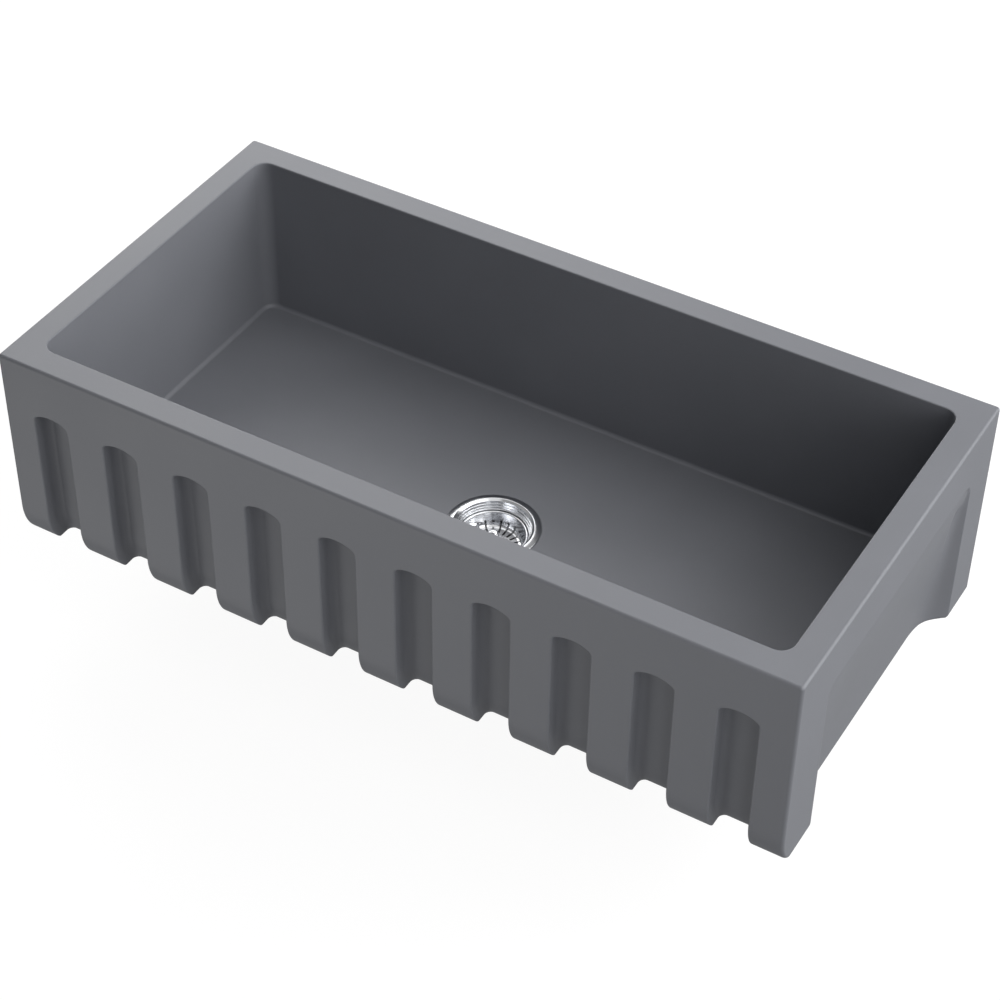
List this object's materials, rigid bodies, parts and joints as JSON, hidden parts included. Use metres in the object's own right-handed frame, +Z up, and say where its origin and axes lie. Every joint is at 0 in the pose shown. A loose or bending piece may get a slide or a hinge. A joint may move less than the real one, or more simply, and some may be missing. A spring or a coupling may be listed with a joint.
{
  "type": "farmhouse apron front sink",
  "caption": "Single bowl farmhouse sink in matt grey fireclay with an upright fluted apron, recessed sides and a centred basket strainer.",
  "frame": {"origin": "centre of the plane that the feet stand on, under the middle of the bowl and on the drain's axis", "axes": "+Z up towards the rim, +X along the width to the right when facing the apron, -Y out of the fluted apron"},
  "size_m": [0.9144, 0.46, 0.3705],
  "materials": {
    "glazed_clay": "fine matt glaze",
    "polished_steel": "polished, with faint turning lines",
    "brushed_steel": "fine brushed",
    "chrome_plate": "bright plate",
    "brass": "rough cast, machined on its faces",
    "rubber": "matt",
    "fibre": "pressed fibre"
  },
  "bodies": {
    "sink": {"basin": "glazed_clay", "flange_gasket": "rubber", "strainer_body": "polished_steel", "outlet_cross": "brushed_steel", "rubber_washer": "rubber", "friction_ring": "fibre", "locknut": "brass", "tailpiece_washer": "rubber", "tailpiece": "chrome_plate", "coupling_nut": "chrome_plate"},
    "basket_lifter": {"post_clip": "brushed_steel"},
    "basket": {"basket_cup": "polished_steel", "basket_dome_washer": "polished_steel", "basket_post": "brushed_steel", "basket_knob": "polished_steel", "stopper_plate": "brushed_steel", "stopper_seal": "rubber", "post_nut": "brass"}
  },
  "joints": [
    {"name": "basket_lift", "type": "slide", "parent": "sink", "child": "basket_lifter", "axis": [0, 0, 1], "range_m": [0, 0.265]},
    {"name": "basket_turn", "type": "hinge", "parent": "basket_lifter", "child": "basket", "pos_m": [0, 0, 0.01], "axis": [0, 0, 1], "continuous": true}
  ]
}
